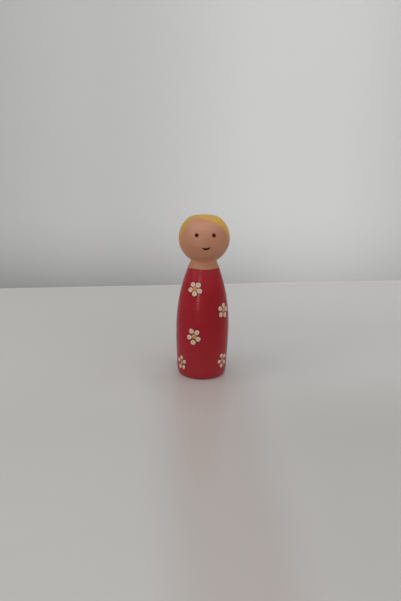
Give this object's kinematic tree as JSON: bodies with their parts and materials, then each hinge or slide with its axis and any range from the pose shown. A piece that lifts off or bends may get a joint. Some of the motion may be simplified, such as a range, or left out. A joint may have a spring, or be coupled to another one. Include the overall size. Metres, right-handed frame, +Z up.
{
  "type": "peg doll",
  "caption": "Turned wooden peg doll with a ball head, short neck and flat-based body, painted with a red dress, scattered daisies, yellow hair and a simple face.",
  "frame": {"origin": "middle of the flat base, on the surface that the doll stands on", "axes": "+Z up along the turned axis, -Y the way the face looks, +X the doll's own left"},
  "size_m": [0.0286, 0.029, 0.0885],
  "materials": {
    "bare_wood": "sanded bare wood, seen only on the underside",
    "skin_paint": "satin acrylic paint",
    "hair_paint": "satin acrylic paint with brush marks",
    "dress_paint": "satin to gloss acrylic paint with fine turning ridges",
    "petal_paint": "raised glossy dabs of paint",
    "centre_paint": "raised glossy dabs of paint",
    "face_paint": "thin dabs of dark paint"
  },
  "bodies": {
    "root": {"wood_peg": "bare_wood", "skin_coat": "skin_paint", "hair_coat": "hair_paint", "dress_coat": "dress_paint", "eye_left": "face_paint", "eye_right": "face_paint", "smile": "face_paint", "right_shoulder_daisy_petal_1": "petal_paint", "right_shoulder_daisy_petal_2": "petal_paint", "right_shoulder_daisy_petal_3": "petal_paint", "right_shoulder_daisy_petal_4": "petal_paint", "right_shoulder_daisy_petal_5": "petal_paint", "right_shoulder_daisy_centre": "centre_paint", "left_waist_daisy_petal_1": "petal_paint", "left_waist_daisy_petal_2": "petal_paint", "left_waist_daisy_petal_3": "petal_paint", "left_waist_daisy_petal_4": "petal_paint", "left_waist_daisy_petal_5": "petal_paint", "left_waist_daisy_centre": "centre_paint", "right_belly_daisy_petal_1": "petal_paint", "right_belly_daisy_petal_2": "petal_paint", "right_belly_daisy_petal_3": "petal_paint", "right_belly_daisy_petal_4": "petal_paint", "right_belly_daisy_petal_5": "petal_paint", "right_belly_daisy_centre": "centre_paint", "right_hem_daisy_petal_1": "petal_paint", "right_hem_daisy_petal_2": "petal_paint", "right_hem_daisy_petal_3": "petal_paint", "right_hem_daisy_petal_4": "petal_paint", "right_hem_daisy_petal_5": "petal_paint", "right_hem_daisy_centre": "centre_paint", "left_hem_daisy_petal_1": "petal_paint", "left_hem_daisy_petal_2": "petal_paint", "left_hem_daisy_petal_3": "petal_paint", "left_hem_daisy_petal_4": "petal_paint", "left_hem_daisy_petal_5": "petal_paint", "left_hem_daisy_centre": "centre_paint", "back_shoulder_daisy_petal_1": "petal_paint", "back_shoulder_daisy_petal_2": "petal_paint", "back_shoulder_daisy_petal_3": "petal_paint", "back_shoulder_daisy_petal_4": "petal_paint", "back_shoulder_daisy_petal_5": "petal_paint", "back_shoulder_daisy_centre": "centre_paint", "back_waist_daisy_petal_1": "petal_paint", "back_waist_daisy_petal_2": "petal_paint", "back_waist_daisy_petal_3": "petal_paint", "back_waist_daisy_petal_4": "petal_paint", "back_waist_daisy_petal_5": "petal_paint", "back_waist_daisy_centre": "centre_paint", "back_belly_daisy_petal_1": "petal_paint", "back_belly_daisy_petal_2": "petal_paint", "back_belly_daisy_petal_3": "petal_paint", "back_belly_daisy_petal_4": "petal_paint", "back_belly_daisy_petal_5": "petal_paint", "back_belly_daisy_centre": "centre_paint"}
  },
  "joints": []
}
